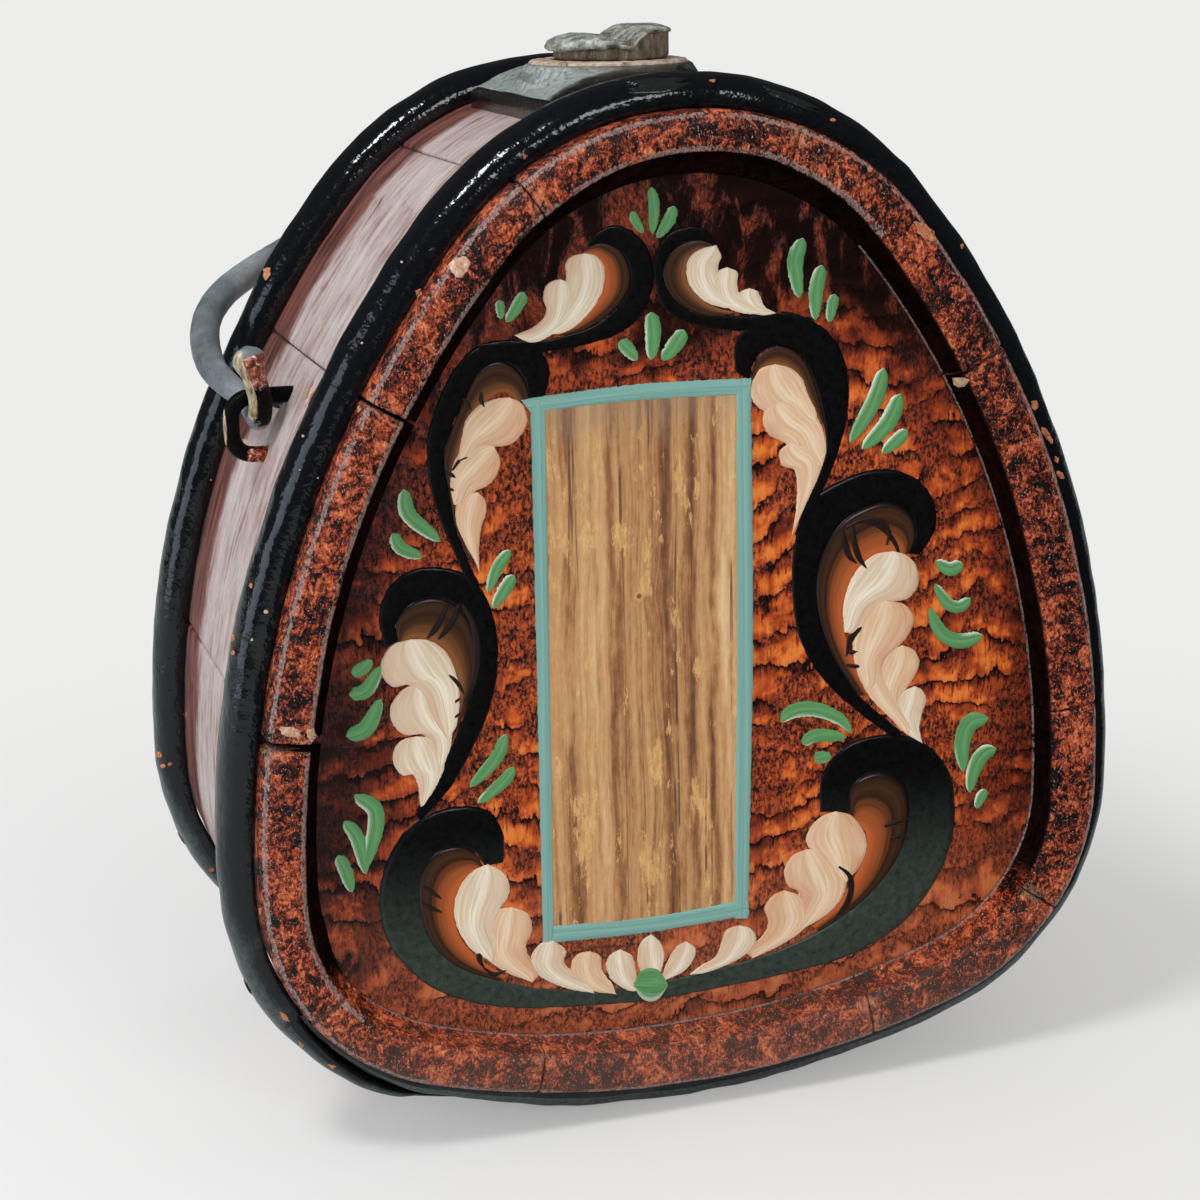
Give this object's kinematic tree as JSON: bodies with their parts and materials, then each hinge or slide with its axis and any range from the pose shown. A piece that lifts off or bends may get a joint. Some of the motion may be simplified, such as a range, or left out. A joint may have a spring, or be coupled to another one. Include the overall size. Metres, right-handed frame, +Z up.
{
  "type": "carrying keg",
  "caption": "Rounded-triangle coopered wooden keg with painted heads, two half round hoops, a stoppered bung on top and a swinging carrying handle.",
  "frame": {"origin": "on the floor, at the middle of the front hoop's worn resting flat", "axes": "+X to the right of the front head, +Y from the front head to the rear head, +Z up"},
  "size_m": [0.253, 0.1841, 0.2867],
  "materials": {
    "stave": "sponged red-brown paint, worn satin",
    "head": "combed orange-brown paint with painted scrolls, satin",
    "hoop": "black gloss paint",
    "nail": "painted over",
    "saddle": "black gloss paint",
    "collar": "worn, cracked",
    "stopper": "worn paint over bare wood",
    "peg": "plain",
    "staple": "worn paint over iron",
    "handle": "worn grey-black paint over iron"
  },
  "bodies": {
    "keg": {"stave_corner_right": "stave", "stave_lower_right": "stave", "stave_side_right": "stave", "stave_upper_right": "stave", "stave_top": "stave", "stave_upper_left": "stave", "stave_side_left": "stave", "stave_lower_left": "stave", "stave_corner_left": "stave", "stave_base": "stave", "head_front_left": "head", "head_front_middle": "head", "head_front_right": "head", "head_rear_left": "head", "head_rear_middle": "head", "head_rear_right": "head", "dowel_front_left_upper": "peg", "dowel_front_left_lower": "peg", "dowel_front_right_upper": "peg", "dowel_front_right_lower": "peg", "dowel_rear_left_upper": "peg", "dowel_rear_left_lower": "peg", "dowel_rear_right_upper": "peg", "dowel_rear_right_lower": "peg", "hoop_front": "hoop", "hoop_rear": "hoop", "hoop_front_nail_1": "nail", "hoop_front_nail_2": "nail", "hoop_rear_nail_1": "nail", "hoop_rear_nail_2": "nail", "bung_boss": "saddle", "bung_collar": "collar", "boss_peg_1": "peg", "boss_peg_2": "peg", "boss_peg_3": "peg", "boss_peg_4": "peg", "staple_left": "staple", "staple_right": "staple"},
    "handle": {"handle": "handle"},
    "stopper": {"stopper": "stopper"}
  },
  "joints": [
    {"name": "handle_swing", "type": "hinge", "parent": "keg", "child": "handle", "pos_m": [0, 0.055, 0.1925], "axis": [1, 0, 0], "range_deg": [0, 122]},
    {"name": "stopper_pull", "type": "slide", "parent": "keg", "child": "stopper", "axis": [0, 0, 1], "range_m": [0, 0.045]}
  ]
}
